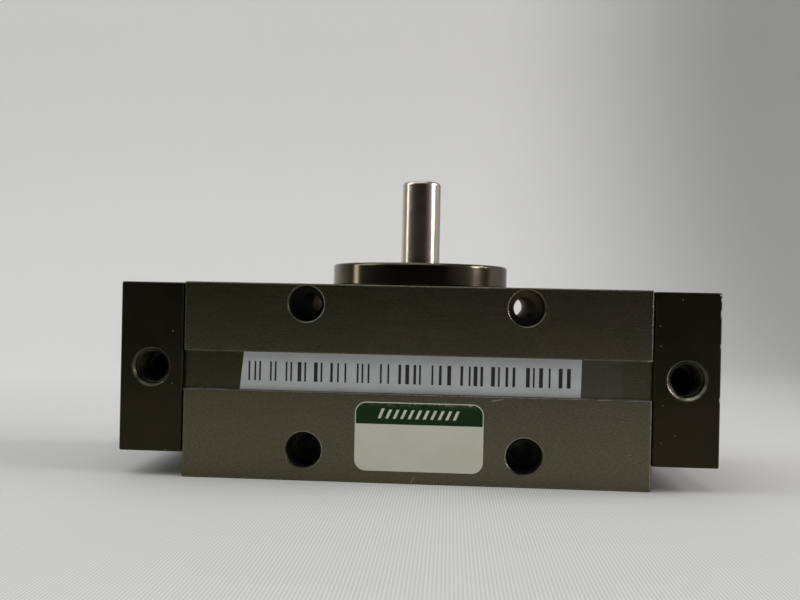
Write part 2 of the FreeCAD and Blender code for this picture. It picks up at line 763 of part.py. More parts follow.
def make_bearing_flange():
    """The disc that holds the upper bearing and the shaft seal."""
    body = new_body("bearing_flange")
    section = new_sketch(body, "XZ_Plane", "flange_section")
    polygon(section, [
        ("flange_hole_radius", "body_height"),
        ("pilot_inner", "body_height"),
        ("pilot_inner", "body_height - pilot_depth"),
        ("pilot_radius", "body_height - pilot_depth"),
        ("pilot_radius", "body_height"),
        ("flange_radius - flange_low_edge", "body_height"),
        ("flange_radius", "body_height + flange_low_edge"),
        ("flange_radius", FLANGE_TOP),
        ("seal_recess_radius", FLANGE_TOP),
        ("seal_recess_radius", f"{FLANGE_TOP} - seal_recess_depth"),
        ("flange_hole_radius", f"{FLANGE_TOP} - seal_recess_depth"),
    ])
    blank = revolve(body, section)
    top = number(FLANGE_TOP)
    fillet(body, blank, "flange_top_edge",
           lambda edge: is_circle(edge, number("flange_radius")) and abs(edge.Curve.Center.z - top) < 0.01)

    holes = new_sketch(body, "XY_Plane", "flange_holes", FLANGE_TOP)
    for across, along in flange_screw_places():
        circle(holes, across, along, "flange_screw_radius")
    hole_cut = pocket(body, holes, "flange_height")
    chamfer(body, hole_cut, "flange_sink_radius - flange_screw_radius",
            lambda edge: is_circle(edge, number("flange_screw_radius")) and abs(edge.Curve.Center.z - top) < 0.01)


def make_flange_screws():
    """Flat-head socket screws, flush with the flange."""
    body = new_body("flange_screw", keep=False)
    section = new_sketch(body, "XZ_Plane", "flange_screw_section")
    polygon(section, [
        ("0", "0"),
        ("flat_head_radius", "0"),
        ("flat_shank_radius", "-flat_head_height"),
        ("flat_shank_radius", "-flat_screw_length"),
        ("0", "-flat_screw_length"),
    ])
    revolve(body, section)
    socket = new_sketch(body, "XY_Plane", "flange_screw_socket")
    hexagon(socket, "flat_socket_radius")
    pocket(body, socket, "flat_socket_depth")
    copies("flange_screws", body, Rotation(),
           [(across, along, f"{FLANGE_TOP} - flat_head_sunk") for across, along in flange_screw_places()])


def make_shaft_seal():
    """The lip seal round the shaft, in the flange's recess."""
    body = new_body("shaft_seal")
    section = new_sketch(body, "XZ_Plane", "seal_section")
    floor = f"{FLANGE_TOP} - seal_recess_depth"
    polygon(section, [
        ("seal_shaft_radius", f"{floor} + seal_height * 0.55"),
        ("seal_shaft_radius + 1", f"{floor}"),
        ("seal_recess_radius", floor),
        ("seal_recess_radius", f"{floor} + seal_height - 0.3"),
        ("seal_recess_radius - 0.3", f"{floor} + seal_height"),
        ("seal_shaft_radius + 0.9", f"{floor} + seal_height"),
        ("seal_shaft_radius", f"{floor} + seal_height * 0.75"),
    ])
    revolve(body, section)


# ---------------------------------------------------------------- labels

def make_label_strip():
    """The tape in the front groove, cut a little askew at its left end."""
    body = new_body("label_strip")
    outline = new_sketch(body, "XZ_Plane", "strip_outline", f"{FRONT} - groove_depth")
    polygon(outline, [
        ("strip_left_low", "groove_low + strip_margin"),
        ("strip_right_low", "groove_low + strip_margin"),
        ("strip_right_high", "groove_high - strip_margin"),
        ("strip_left_high", "groove_high - strip_margin"),
    ])
    pad(body, outline, "strip_thickness")


def make_rating_sticker():
    """The sticker with round corners on the lower front face."""
    body = new_body("rating_sticker")
    outline = new_sketch(body, "XZ_Plane", "sticker_outline", FRONT)
    rectangle(outline, ("sticker_left", "sticker_low"), ("sticker_right", "sticker_high"))
    plate = pad(body, outline, "sticker_thickness")
    thickness = number("sticker_thickness")
    fillet(body, plate, "sticker_corner", lambda edge: abs(edge.Length - thickness) < 0.001)


# ---------------------------------------------------------------- build and write

make_housing()
for side_name, side_sign in SIDES.items():
    make_end_cover(side_name, side_sign)
    make_cover_ring(side_name, side_sign)
    make_bumper(side_name, side_sign)
    make_piston(side_name, side_sign)
    make_piston_seal(side_name, side_sign)
    make_wear_ring(side_name, side_sign)
make_rack()
make_cap_screws()
make_output_shaft()
make_bearings()
make_preload_washer()
make_bearing_flange()
make_flange_screws()
make_shaft_seal()
make_label_strip()
make_rating_sticker()
doc.recompute()

for item in doc.Objects:
    if "Invalid" in item.State or "Error" in item.State:
        raise RuntimeError(f"{item.Name} did not build: {item.State}")

os.makedirs("parts", exist_ok=True)
for part in subparts:
    if part.Shape.isNull() or not part.Shape.isValid():
        raise RuntimeError(part.Label + " has no valid shape")
    part.Shape.exportStep(f"parts/{part.Label}.step")
    print(f"{part.Label}: {len(part.Shape.Solids)} solid(s), {part.Shape.Volume:.1f} mm3")
print(len(subparts), "sub-parts")
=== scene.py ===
import json
import math
import random
import bpy
from mathutils import Matrix, Vector


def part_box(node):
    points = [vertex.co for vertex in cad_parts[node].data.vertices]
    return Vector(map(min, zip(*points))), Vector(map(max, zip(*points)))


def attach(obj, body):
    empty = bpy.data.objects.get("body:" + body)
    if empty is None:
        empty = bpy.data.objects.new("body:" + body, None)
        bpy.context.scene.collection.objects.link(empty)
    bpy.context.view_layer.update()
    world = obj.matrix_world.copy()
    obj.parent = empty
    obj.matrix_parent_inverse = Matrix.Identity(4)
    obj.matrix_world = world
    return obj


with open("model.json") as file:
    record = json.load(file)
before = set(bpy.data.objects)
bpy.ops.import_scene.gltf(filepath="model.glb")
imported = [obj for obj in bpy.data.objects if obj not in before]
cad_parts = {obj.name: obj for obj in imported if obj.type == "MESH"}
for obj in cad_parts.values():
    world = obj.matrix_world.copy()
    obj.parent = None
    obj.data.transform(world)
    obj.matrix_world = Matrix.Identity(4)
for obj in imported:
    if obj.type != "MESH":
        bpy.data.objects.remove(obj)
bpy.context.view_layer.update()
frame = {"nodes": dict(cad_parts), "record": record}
nodes = frame["nodes"]
mounts = {mount["name"]: mount for mount in frame["record"]["mounts"]}
scene = bpy.context.scene
scene.view_settings.view_transform = "Standard"

# Lengths are in millimetres unless a comment says otherwise.
MM = 0.001


# ---------------------------------------------------------------- camera

CAMERA_PLACE = (10.14, -282.6, 55.71)
CAMERA_YAW = -0.0590
CAMERA_PITCH = -0.0020
CAMERA_ROLL = 0.0210
CAMERA_LENS = 37.953
CAMERA_SENSOR = 36.0
CAMERA_NEAR = 10.0


def make_camera():
    data = bpy.data.cameras.new("camera")
    data.sensor_width = CAMERA_SENSOR
    data.lens = CAMERA_LENS
    data.clip_start = CAMERA_NEAR * MM
    camera = bpy.data.objects.new("camera", data)
    scene.collection.objects.link(camera)
    ahead = Vector((
        math.sin(CAMERA_YAW) * math.cos(CAMERA_PITCH),
        math.cos(CAMERA_YAW) * math.cos(CAMERA_PITCH),
        math.sin(CAMERA_PITCH),
    ))
    level = Vector((math.cos(CAMERA_YAW), -math.sin(CAMERA_YAW), 0))
    above = level.cross(ahead)
    right = level * math.cos(CAMERA_ROLL) + above * math.sin(CAMERA_ROLL)
    up = above * math.cos(CAMERA_ROLL) - level * math.sin(CAMERA_ROLL)
    turn = Matrix((right, up, -ahead)).transposed()
    camera.matrix_world = Matrix.Translation(Vector(CAMERA_PLACE) * MM) @ turn.to_4x4()
    scene.camera = camera


# ---------------------------------------------------------------- shader helpers

class Shader:
    """A material or world under construction."""

    def __init__(self, name, owner=None):
        self.owner = owner or bpy.data.materials.new(name)
        self.owner.use_nodes = True
        self.tree = self.owner.node_tree

    def add(self, kind, inputs=None, **settings):
        item = self.tree.nodes.new("ShaderNode" + kind)
        for key, value in settings.items():
            setattr(item, key, value)
        for key, value in (inputs or {}).items():
            self.put(item.inputs[key], value)
        return item

    def put(self, socket, value):
        if isinstance(value, bpy.types.NodeSocket):
            self.tree.links.new(value, socket)
        else:
            socket.default_value = value

    def place(self):
        """Where the point is on the object, in millimetres."""
        coordinates = self.add("TexCoord")
        scale = self.add("VectorMath", {0: coordinates.outputs["Object"], 3: 1 / MM}, operation="SCALE")
        return scale.outputs[0]

    def stretch(self, vector, factors):
        return self.add("VectorMath", {0: vector, 1: factors}, operation="MULTIPLY").outputs[0]

    def split(self, vector):
        """The vector's x, y and z."""
        return self.add("SeparateXYZ", {0: vector}).outputs[:3]

    def noise(self, vector, scale, detail=3.0, rough=0.55):
        inputs = {"Vector": vector, "Scale": scale, "Detail": detail, "Roughness": rough}
        return self.add("TexNoise", inputs).outputs[0]

    def specks(self, vector, scale):
        """Distance to the nearest of many scattered points."""
        return self.add("TexVoronoi", {"Vector": vector, "Scale": scale}, feature="F1").outputs["Distance"]

    def math(self, operation, first, second=0.0, clamp=False):
        return self.add("Math", {0: first, 1: second}, operation=operation, use_clamp=clamp).outputs[0]

    def times(self, first, second):
        return self.math("MULTIPLY", first, second)

    def length(self, first, second):
        """The hypotenuse over two sides."""
        squares = self.math("ADD", self.times(first, first), self.times(second, second))
        return self.math("SQRT", squares)

    def remap(self, value, low, high, to_low=0.0, to_high=1.0, curve="LINEAR"):
        inputs = {0: value, 1: low, 2: high, 3: to_low, 4: to_high}
        return self.add("MapRange", inputs, clamp=True, interpolation_type=curve).outputs[0]

    def mix(self, factor, first, second):
        item = self.add("Mix", data_type="RGBA")
        self.put(item.inputs[0], factor)
        self.put(item.inputs[6], first)
        self.put(item.inputs[7], second)
        return item.outputs[2]

    def edge(self, radius, samples=6):
        """The rounded normal, and how near the point is to an edge, from 0 to 1."""
        rounded = self.add("Bevel", {"Radius": radius * MM}, samples=samples).outputs[0]
        flat = self.add("NewGeometry").outputs["True Normal"]
        along = self.add("VectorMath", {0: rounded, 1: flat}, operation="DOT_PRODUCT").outputs[1]
        return rounded, self.remap(along, 0.995, 0.85)

    def bump(self, height, distance, strength=1.0, normal=None):
        inputs = {"Height": height, "Distance": distance * MM, "Strength": strength}
        if normal is not None:
            inputs["Normal"] = normal
        return self.add("Bump", inputs).outputs[0]

    def surface(self, **inputs):
        """Set the principled shader's sockets; words are written with _ for a space."""
        shader = self.tree.nodes["Principled BSDF"]
        for key, value in inputs.items():
            self.put(shader.inputs[key.replace("_", " ")], value)
        return self.owner


def colour(red, green, blue):
    return (red, green, blue, 1.0)


def scaled(base_colour, factor, lift=0.0):
    """A paler or darker version of a colour."""
    return colour(*(min(1.0, channel * factor + lift) for channel in base_colour))


# ---------------------------------------------------------------- places on the object

HALF_DEPTH = 30.0
HALF_LENGTH = 70.7
HOLE_ACROSS = 33.15
HOLE_LOW = 9.3
HOLE_HIGH = 53.5
HOLE_MIDDLE = (HOLE_LOW + HOLE_HIGH) / 2
HOLE_RADIUS = 5.45
PALE_FROM_LEFT = 1.0
PALE_FROM_RIGHT = -22.0
GROOVE_TOP = 38.6
GROOVE_DEPTH = 2.0
RESIDUE_LEFT = 48.0
RESIDUE_RIGHT = 62.5
PORT_ACROSS = 80.5
PORT_HEIGHT = 33.2
PORT_RADIUS = 5.1
PORT_CHAMFER = 0.8


def hole_offsets(s, x, z):
    """How far the point is past the nearest mounting hole's axis, across and along z, going outward."""
    across = s.math("SUBTRACT", s.math("ABSOLUTE", x), HOLE_ACROSS)
    from_middle = s.math("ABSOLUTE", s.math("SUBTRACT", z, HOLE_MIDDLE))
    return across, s.math("SUBTRACT", from_middle, HOLE_HIGH - HOLE_MIDDLE)


def hole_masks(s, place):
    """Masks from 0 to 1: inside the mounting holes, where shade is painted; a painted highlight on their
    rims; and painted light on the upper pair's pale walls.
    """
    x, y, z = s.split(place)
    across, along = hole_offsets(s, x, z)
    reach = s.length(across, along)
    deep = s.remap(s.math("ABSOLUTE", y), HALF_DEPTH - 0.35, HALF_DEPTH - 1.6)
    inside = s.times(s.remap(reach, HOLE_RADIUS + 0.25, HOLE_RADIUS + 0.05), deep)
    # Painted highlight on each rim chamfer, brightest on the side facing the middle of the block.
    painted_rim_highlight = s.math("SUBTRACT", s.remap(reach, HOLE_RADIUS + 0.5, HOLE_RADIUS + 0.2), deep, clamp=True)
    painted_rim_highlight = s.times(painted_rim_highlight, s.remap(s.math("ADD", across, along), 3.5, -6.5, 0.12, 1.0))
    # Painted light: the upper holes' through walls, as if lit from behind.
    start = s.remap(x, -1, 1, PALE_FROM_LEFT, PALE_FROM_RIGHT)
    pale = s.remap(s.math("SUBTRACT", y, start), 0.0, 3.0)
    pale = s.times(pale, s.remap(z, HOLE_MIDDLE - 1, HOLE_MIDDLE + 1))
    pale = s.times(pale, s.remap(y, HALF_DEPTH - 1.0, HALF_DEPTH - 5.0, 0.15, 1.0))
    return inside, painted_rim_highlight, s.times(inside, pale)


def groove_mask(s, y):
    """1 on the floor of the groove in the front face."""
    floor = GROOVE_DEPTH - HALF_DEPTH
    return s.times(s.remap(y, floor - 0.5, floor - 0.1), s.remap(y, floor + 0.4, floor + 0.2))


def port_rim_highlight(s, place):
    """A painted highlight, up to 1, on the chamfer at the mouth of each port, most at its lower left and on
    the right port.
    """
    x, y, z = s.split(place)
    across = s.math("SUBTRACT", s.math("ABSOLUTE", x), PORT_ACROSS)
    along = s.math("SUBTRACT", z, PORT_HEIGHT)
    mouth = s.remap(s.length(across, along), PORT_RADIUS + 1.1, PORT_RADIUS + 0.75)
    toward = s.math("ADD", s.math("SUBTRACT", x, PORT_ACROSS), s.times(along, 0.8))
    mouth = s.times(mouth, s.remap(toward, 1.0, -5.5, 0.10, 1.0))
    mouth = s.times(mouth, s.remap(x, -1, 1, 0.10, 1.0))
    return s.times(mouth, s.remap(y, 1.1 - HALF_DEPTH, 0.7 - HALF_DEPTH))


# ---------------------------------------------------------------- materials

def block_wear_and_highlight(s, place, near_edge):
    """How far an edge of the block is rubbed, plus a painted highlight along its right end edge: most on
    the right, least at the groove and the holes.
    """
    x, y, z = s.split(place)
    patches = s.remap(s.noise(place, 0.5, 4.0, 0.75), 0.42, 0.64, 0.10, 0.9)
    wear = s.times(s.times(near_edge, patches), s.remap(x, -60, 70, 0.6, 1.0))
    # Painted highlight: the right end edge is made bright all along.
    right_end_highlight = s.times(near_edge, s.remap(x, HALF_LENGTH - 1.1, HALF_LENGTH - 0.5, 0.0, 0.9))
    wear = s.math("MAXIMUM", wear, right_end_highlight)
    from_groove = s.math("ABSOLUTE", s.math("SUBTRACT", z, GROOVE_TOP))
    wear = s.times(wear, s.remap(from_groove, 0.5, 1.2, 0.1, 1.0))
    from_hole = s.length(*hole_offsets(s, x, z))
    return s.times(wear, s.remap(from_hole, HOLE_RADIUS + 0.6, HOLE_RADIUS + 1.0))


def anodised_block():
    """Olive-grey hard anodising over milled aluminium, with the cutter's grain along the block."""
    s = Shader("anodised_block")
    place = s.place()
    x, y = s.split(place)[:2]
    grain = s.noise(s.stretch(place, (0.06, 4.0, 4.0)), 1.0, 6.0, 0.75)
    fine = s.noise(s.stretch(place, (0.9, 7.0, 7.0)), 1.0, 4.0, 0.7)
    mottle = s.noise(s.stretch(place, (1.3, 2.2, 2.2)), 1.0, 4.0, 0.8)
    # Random tone plus painted light: the block is painted lighter towards the right.
    tone_and_painted_light = s.math("ADD", s.times(x, 0.0060), s.noise(place, 0.045, 3.0))
    rounded, near_edge = s.edge(0.55)

    base = s.mix(s.remap(tone_and_painted_light, 0.2, 0.8), colour(0.084, 0.083, 0.037), colour(0.128, 0.117, 0.081))
    base = s.mix(s.remap(grain, 0.35, 0.65, 0.0, 0.6), base, colour(0.160, 0.150, 0.103))
    base = s.mix(s.remap(mottle, 0.38, 0.66, 0.0, 0.75), base, colour(0.056, 0.053, 0.031))
    base = s.mix(s.remap(fine, 0.42, 0.70, 0.0, 0.7), base, colour(0.20, 0.19, 0.135))

    groove = groove_mask(s, y)
    # Painted shade on the recessed floor of the groove, deepest on the left.
    groove_painted_shade = s.times(groove, s.remap(tone_and_painted_light, 0.1, 1.0, 0.75, 0.35))
    base = s.mix(groove_painted_shade, base, colour(0.048, 0.047, 0.028))
    residue = s.times(groove, s.remap(x, RESIDUE_RIGHT, RESIDUE_RIGHT - 1.5))
    residue = s.times(residue, s.remap(x, RESIDUE_LEFT, RESIDUE_LEFT + 2.0, 0.0, 0.30))
    base = s.mix(residue, base, colour(0.16, 0.16, 0.145))

    inside, painted_rim_highlight, pale = hole_masks(s, place)
    # Rubbed edges in pale metal, with a painted highlight along the right end edge.
    base = s.mix(block_wear_and_highlight(s, place, near_edge), base, colour(0.58, 0.56, 0.49))
    # Painted shade: the mounting holes are made nearly black inside.
    base = s.mix(s.times(inside, 0.95), base, colour(0.012, 0.011, 0.008))
    # Painted light on the upper holes' walls, in pale tan.
    base = s.mix(pale, base, colour(0.46, 0.36, 0.21))
    # Painted highlight on the hole rims.
    base = s.mix(s.times(s.times(painted_rim_highlight, near_edge), 0.95), base, colour(0.92, 0.88, 0.74))

    rough = s.math("ADD", s.remap(grain, 0.3, 0.7, 0.24, 0.34), s.remap(mottle, 0.3, 0.7, -0.04, 0.04))
    rough = s.math("ADD", rough, s.times(inside, 0.45))
    metal = s.math("ADD", s.remap(inside, 0.0, 1.0, 1.0, 0.05), s.times(pale, 0.15))
    height = s.math("ADD", s.times(grain, 0.7), s.times(fine, 0.5))
    normal = s.bump(height, 0.008, 0.8, rounded)
    return s.surface(Base_Color=base, Metallic=metal, Roughness=rough, Normal=normal)


def anodised_cover():
    """Black anodising, satin, with dust, rubbed edges and a painted highlight on the port rims."""
    s = Shader("anodised_cover")
    place = s.place()
    cloud = s.noise(place, 0.08, 3.0)
    mottle = s.noise(place, 1.6, 4.0, 0.7)
    rounded, near_edge = s.edge(0.45)

    base = s.mix(s.remap(cloud, 0.35, 0.65), colour(0.030, 0.028, 0.015), colour(0.036, 0.032, 0.020))
    base = s.mix(s.remap(mottle, 0.5, 0.75, 0.0, 0.5), base, colour(0.022, 0.021, 0.014))
    dust = s.remap(s.specks(place, 0.16), 0.035, 0.022)
    dust = s.times(dust, s.remap(s.noise(place, 0.1, 2.0), 0.5, 0.56))
    base = s.mix(s.times(dust, 0.7), base, colour(0.55, 0.54, 0.48))
    wear = s.times(near_edge, s.remap(s.noise(place, 0.5, 4.0, 0.7), 0.50, 0.64))
    base = s.mix(s.times(wear, 0.7), base, colour(0.42, 0.40, 0.34))
    # Painted highlight on the chamfers at the port mouths.
    painted_rim_highlight = s.times(port_rim_highlight(s, place), s.remap(mottle, 0.3, 0.6, 0.35, 0.75))
    base = s.mix(painted_rim_highlight, base, colour(0.66, 0.62, 0.50))

    rough = s.math("ADD", s.remap(cloud, 0.3, 0.7, 0.30, 0.38), s.remap(mottle, 0.3, 0.7, -0.04, 0.04))
    rough = s.math("SUBTRACT", rough, s.times(painted_rim_highlight, 0.12))
    normal = s.bump(mottle, 0.010, 0.6, rounded)
    return s.surface(Base_Color=base, Metallic=1.0, Roughness=rough, Normal=normal)


def gloss_flange():
    """Black anodising over a turned disc: fine rings, nearly polished."""
    s = Shader("gloss_flange")
    place = s.place()
    x, y, z = s.split(place)
    rings = s.add("CombineXYZ", {0: s.length(x, y), 1: 0.0, 2: z}).outputs[0]
    turned = s.noise(rings, 5.0, 3.0, 0.6)
    cloud = s.noise(place, 0.12, 3.0)
    rounded = s.edge(0.25)[0]
    base = s.mix(s.remap(cloud, 0.35, 0.65), colour(0.098, 0.086, 0.060), colour(0.112, 0.099, 0.072))
    dust = s.remap(s.specks(place, 0.3), 0.05, 0.03)
    dust = s.times(dust, s.remap(s.noise(place, 0.2, 2.0), 0.52, 0.58))
    base = s.mix(s.times(dust, 0.5), base, colour(0.60, 0.57, 0.48))
    rough = s.remap(turned, 0.3, 0.7, 0.12, 0.17)
    normal = s.bump(turned, 0.004, 0.5, rounded)
    return s.surface(Base_Color=base, Metallic=1.0, Roughness=rough, Normal=normal)


def ground_steel():
    """Bright steel ground round the shaft, so the marks run round it."""
    s = Shader("ground_steel")
    place = s.place()
    marks = s.noise(s.stretch(place, (0.8, 0.8, 6.0)), 1.0, 5.0, 0.8)
    grit = s.noise(place, 4.0, 4.0, 0.8)
    smudge = s.noise(place, 0.35, 4.0, 0.6)
    rounded = s.edge(0.25)[0]
    base = s.mix(s.remap(smudge, 0.35, 0.7), colour(0.66, 0.575, 0.495), colour(0.56, 0.495, 0.43))
    rough = s.math("ADD", s.remap(marks, 0.3, 0.7, 0.13, 0.21), s.remap(smudge, 0.4, 0.7, 0.0, 0.06))
    normal = s.bump(s.math("ADD", marks, grit), 0.022, 0.8, rounded)
    return s.surface(Base_Color=base, Metallic=1.0, Roughness=rough, Normal=normal)


def machined(name, base_colour, rough_low, rough_high, stretch, depth=0.006):
    """Plain metal with cutting marks that are long where the stretch is small."""
    s = Shader(name)
    place = s.place()
    marks = s.noise(s.stretch(place, stretch), 1.0, 4.0, 0.7)
    stain = s.noise(place, 0.3, 3.0)
    rounded, near_edge = s.edge(0.15)
    base = s.mix(s.remap(stain, 0.35, 0.7), colour(*base_colour), scaled(base_colour, 0.78))
    base = s.mix(s.times(near_edge, 0.4), base, scaled(base_colour, 1.25))
    rough = s.remap(marks, 0.3, 0.7, rough_low, rough_high)
    normal = s.bump(marks, depth, 0.6, rounded)
    return s.surface(Base_Color=base, Metallic=1.0, Roughness=rough, Normal=normal)


def black_screw_steel():
    """Black oxide, a little rubbed at the edges."""
    s = Shader("black_screw_steel")
    place = s.place()
    mottle = s.noise(place, 2.5, 4.0, 0.6)
    rounded, near_edge = s.edge(0.12)
    base = s.mix(s.remap(mottle, 0.35, 0.7), colour(0.035, 0.034, 0.033), colour(0.060, 0.057, 0.053))
    base = s.mix(s.times(near_edge, s.remap(mottle, 0.4, 0.6)), base, colour(0.30, 0.29, 0.27))
    rough = s.remap(mottle, 0.3, 0.7, 0.30, 0.46)
    normal = s.bump(mottle, 0.006, 0.5, rounded)
    return s.surface(Base_Color=base, Metallic=1.0, Roughness=rough, Normal=normal)


def moulded(name, base_colour, rough_low, rough_high):
    """Rubber, plastic or paint with a fine moulded grain."""
    s = Shader(name)
    place = s.place()
    grain = s.noise(place, 4.8, 4.0, 0.6)
    cloud = s.noise(place, 0.24, 3.0)
    base = s.mix(s.remap(cloud, 0.35, 0.7), colour(*base_colour), scaled(base_colour, 1.3, 0.004))
    rough = s.remap(grain, 0.3, 0.7, rough_low, rough_high)
    return s.surface(Base_Color=base, Roughness=rough, Normal=s.bump(grain, 0.012, 0.6))


def label_tape():
    """Laminated label tape: smooth and cool grey, with a soft waviness where it was pressed down."""
    s = Shader("label_tape")
    place = s.place()
    wave = s.noise(s.stretch(place, (0.08, 1.0, 0.25)), 1.0, 3.0)
    paper = s.noise(place, 3.0, 3.0, 0.6)
    base = s.mix(s.remap(wave, 0.35, 0.65), colour(0.600, 0.622, 0.634), colour(0.668, 0.695, 0.714))
    base = s.mix(s.remap(paper, 0.5, 0.75, 0.0, 0.25), base, colour(0.60, 0.60, 0.58))
    rough = s.remap(paper, 0.3, 0.7, 0.30, 0.42)
    return s.surface(Base_Color=base, Roughness=rough, Normal=s.bump(wave, 0.05, 0.5))


def label_ink():
    """Black print on the tape."""
    s = Shader("label_ink")
    speckle = s.noise(s.place(), 5.0, 3.0, 0.6)
    base = s.mix(s.remap(speckle, 0.4, 0.7), colour(0.010, 0.010, 0.010), colour(0.022, 0.021, 0.020))
    return s.surface(Base_Color=base, Roughness=s.remap(speckle, 0.3, 0.7, 0.34, 0.44))


def sticker_vinyl():
    """Warm white vinyl, slightly stained."""
    s = Shader("sticker_vinyl")
    place = s.place()
    stain = s.noise(s.stretch(place, (0.1, 1.0, 0.16)), 1.0, 4.0, 0.6)
    fleck = s.noise(place, 4.0, 3.0, 0.6)
    base = s.mix(s.remap(stain, 0.35, 0.7), colour(0.80, 0.80, 0.69), colour(0.75, 0.75, 0.63))
    base = s.mix(s.remap(fleck, 0.55, 0.8, 0.0, 0.2), base, colour(0.55, 0.54, 0.44))
    rough = s.remap(fleck, 0.3, 0.7, 0.38, 0.48)
    return s.surface(Base_Color=base, Roughness=rough, Normal=s.bump(stain, 0.03, 0.4))


def band_green(top_edge):
    """Dark green print, scuffed and nicked along its top edge."""
    s = Shader("band_green")
    place = s.place()
    height = s.split(place)[2]
    fleck = s.noise(place, 1.5, 4.0, 0.7)
    scuff = s.noise(s.stretch(place, (0.45, 1.0, 1.3)), 1.0, 4.0, 0.75)
    reach = s.remap(height, top_edge - 1.5, top_edge)
    base = s.mix(s.remap(fleck, 0.4, 0.7), colour(0.0035, 0.0260, 0.0035), colour(0.0055, 0.0360, 0.0055))
    scuffed = s.times(s.remap(scuff, 0.42, 0.62), s.math("POWER", reach, 1.2))
    base = s.mix(scuffed, base, colour(0.085, 0.130, 0.055))
    nicked = s.times(s.remap(scuff, 0.57, 0.61), s.remap(reach, 0.62, 0.85))
    base = s.mix(nicked, base, colour(0.50, 0.55, 0.40))
    rough = s.remap(fleck, 0.3, 0.7, 0.26, 0.38)
    return s.surface(Base_Color=base, Roughness=rough, IOR=1.30, Normal=s.bump(scuff, 0.02, 0.4))


# ---------------------------------------------------------------- mesh helpers

def add_piece(name, points, faces, material, body=None, smooth=False):
    """A mesh object from points in millimetres."""
    mesh = bpy.data.meshes.new(name)
    mesh.from_pydata([Vector(point) * MM for point in points], [], faces)
    mesh.polygons.foreach_set("use_smooth", [smooth] * len(mesh.polygons))
    mesh.materials.append(material)
    mesh.validate()
    mesh.update()
    piece = bpy.data.objects.new(name, mesh)
    scene.collection.objects.link(piece)
    if body:
        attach(piece, body)
    return piece


def plates(name, outlines, front, thickness, material, body):
    """Flat closed plates in the XZ plane, with their front faces towards -Y."""
    points = []
    faces = []
    for outline in outlines:
        start = len(points)
        count = len(outline)
        points.extend((x, front, z) for x, z in outline)
        points.extend((x, front + thickness, z) for x, z in outline)
        faces.append(tuple(range(start, start + count)))
        faces.append(tuple(reversed(range(start + count, start + 2 * count))))
        for index in range(count):
            after = (index + 1) % count
            faces.append((start + index, start + count + index, start + count + after, start + after))
    return add_piece(name, points, faces, material, body)


# ---------------------------------------------------------------- stage and light

STAGE_FRONT = -40000
STAGE_BEND = 420
STAGE_RADIUS = 380
STAGE_HEIGHT = 3200
STAGE_HALF_WIDTH = 40000
STAGE_STEPS = 16
PAPER_FRONT = -210.0
PAPER_FADE = 180
FAR_SHADE_FADE = 2600
RIB_PITCH = 0.85

# Name, place, aim and size in metres, power in watts, colour.
LIGHTS = (
    ("left_window", (-3.0, -0.08, 0.45), (0, 0, 0.05), (0.35, 1.2), 5.7, (1.0, 0.97, 0.88)),
    ("right_window", (3.0, -0.6, 0.87), (0, 0, 0.07), (0.50, 1.2), 26.0, (1.0, 0.96, 0.94)),
    ("right_skylight", (1.05, 0.12, 0.68), (0, 0, 0.05), (0.45, 0.45), 4.5, (1.0, 0.98, 0.96)),
    ("left_fill", (-1.1, -0.20, 0.75), (0, 0, 0), (0.8, 0.8), 4.3, (0.98, 1.0, 0.98)),
    ("overhead", (-0.25, -0.12, 1.2), (-0.05, -0.05, 0), (1.6, 1.3), 5.3, (0.99, 1.0, 1.0)),
)


def studio_paper():
    """Ribbed white paper round the object; in front of it the floor is painted dark grey and darker still
    far away, as painted shade; its far right lies in shade.
    """
    s = Shader("studio_paper")
    place = s.place()
    x, y = s.split(place)[:2]
    fibre = s.noise(place, 0.8, 3.0)
    base = s.mix(s.remap(fibre, 0.3, 0.7), colour(0.80, 0.80, 0.79), colour(0.825, 0.825, 0.815))
    # Painted shade: in front of the paper the floor turns dark grey, then near black far away.
    front_painted_shade = s.remap(y, PAPER_FRONT, PAPER_FRONT - PAPER_FADE)
    base = s.mix(front_painted_shade, base, colour(0.17, 0.165, 0.16))
    dark = s.remap(y, PAPER_FRONT - PAPER_FADE, PAPER_FRONT - FAR_SHADE_FADE)
    base = s.mix(dark, base, colour(0.045, 0.040, 0.035))
    ribs = s.math("SINE", s.times(x, 2 * math.pi / RIB_PITCH))
    ribs = s.times(s.remap(ribs, -1, 1), s.remap(s.math("ABSOLUTE", y), 260, 120))
    base = s.mix(s.times(ribs, 0.40), base, colour(0.42, 0.42, 0.41))
    shade = s.times(s.remap(x, 20, 400, curve="SMOOTHSTEP"), s.remap(y, -10, 210))
    shade = s.times(shade, s.remap(x, 1300, 800))
    base = s.mix(s.times(shade, 0.8), base, colour(0.25, 0.255, 0.25))
    return s.surface(Base_Color=base, Roughness=0.9)


def make_stage():
    """A pale floor that curves up into a backdrop."""
    profile = [(STAGE_FRONT, 0), (STAGE_BEND, 0)]
    for step in range(1, STAGE_STEPS + 1):
        angle = math.pi / 2 * step / STAGE_STEPS
        along = STAGE_BEND + STAGE_RADIUS * math.sin(angle)
        profile.append((along, STAGE_RADIUS * (1 - math.cos(angle))))
    profile.append((STAGE_BEND + STAGE_RADIUS, STAGE_HEIGHT))
    count = len(profile)
    sides = (-STAGE_HALF_WIDTH, STAGE_HALF_WIDTH)
    points = [(across, along, up) for across in sides for along, up in profile]
    faces = [(index, index + 1, count + index + 1, count + index) for index in range(count - 1)]
    floor = add_piece("studio_floor", points, faces, studio_paper(), smooth=True)


